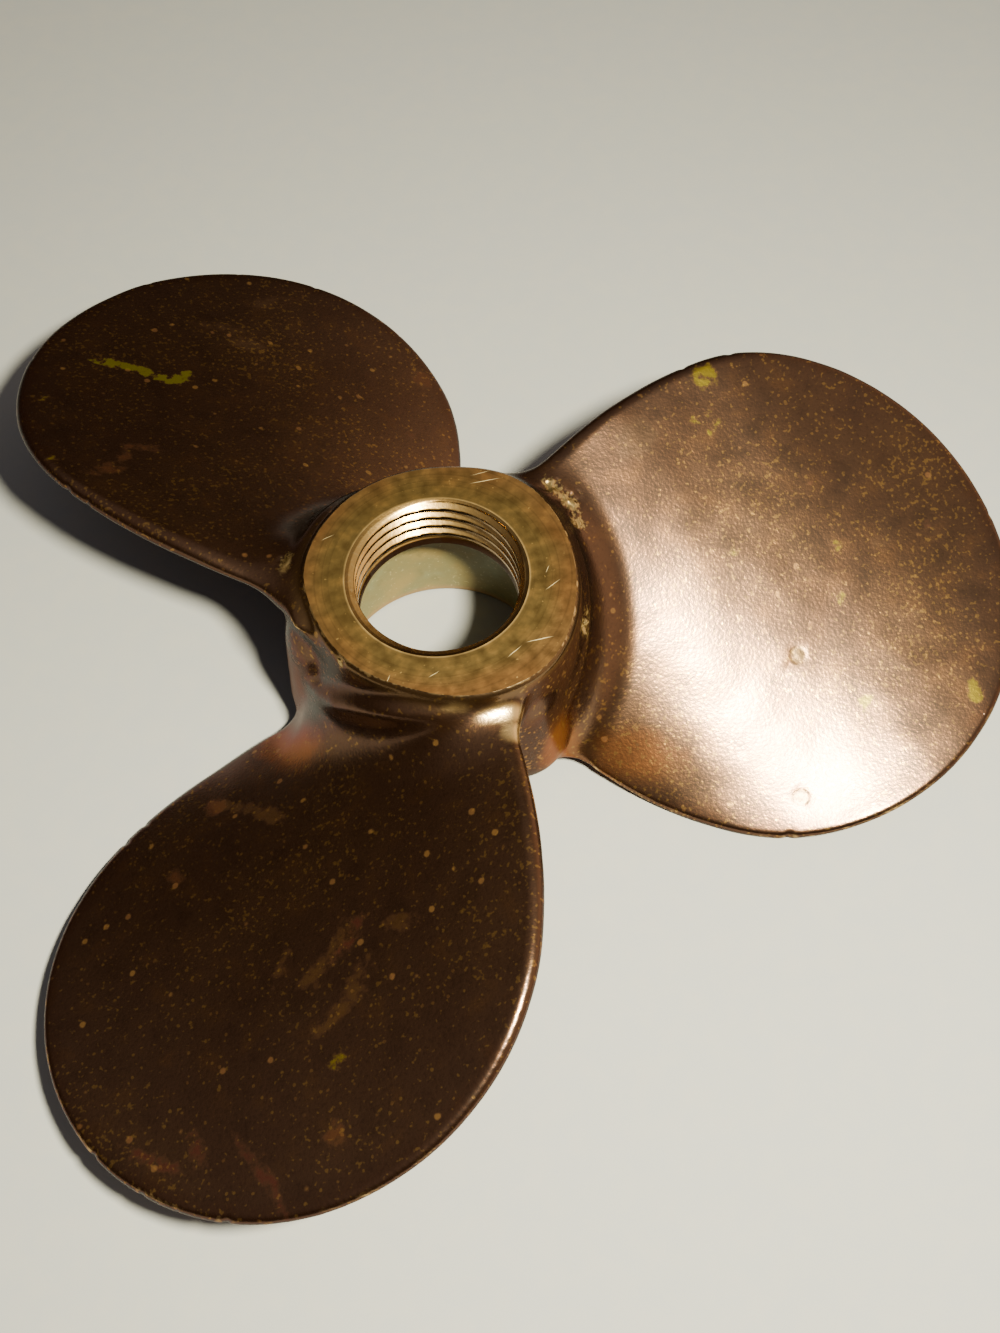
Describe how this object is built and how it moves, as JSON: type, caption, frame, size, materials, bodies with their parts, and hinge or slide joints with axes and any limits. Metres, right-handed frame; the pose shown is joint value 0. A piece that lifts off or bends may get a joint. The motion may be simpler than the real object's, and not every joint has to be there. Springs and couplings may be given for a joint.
{
  "type": "ship propeller",
  "caption": "Small right-hand cast bronze ship propeller: a round hub with a threaded and recessed shaft bore, and broad round twisted blades cast in one with it.",
  "frame": {"origin": "on the shaft's axis, at the hub's rear face", "axes": "+Z along the shaft's axis towards the hub's threaded front face, +X along the first blade's middle line"},
  "size_m": [0.1517, 0.1629, 0.0323],
  "materials": {
    "aged_bronze": "satin, dark brown patina over cast bronze, brighter at the machined bore"
  },
  "bodies": {
    "root": {"propeller_casting": "aged_bronze"}
  },
  "joints": []
}
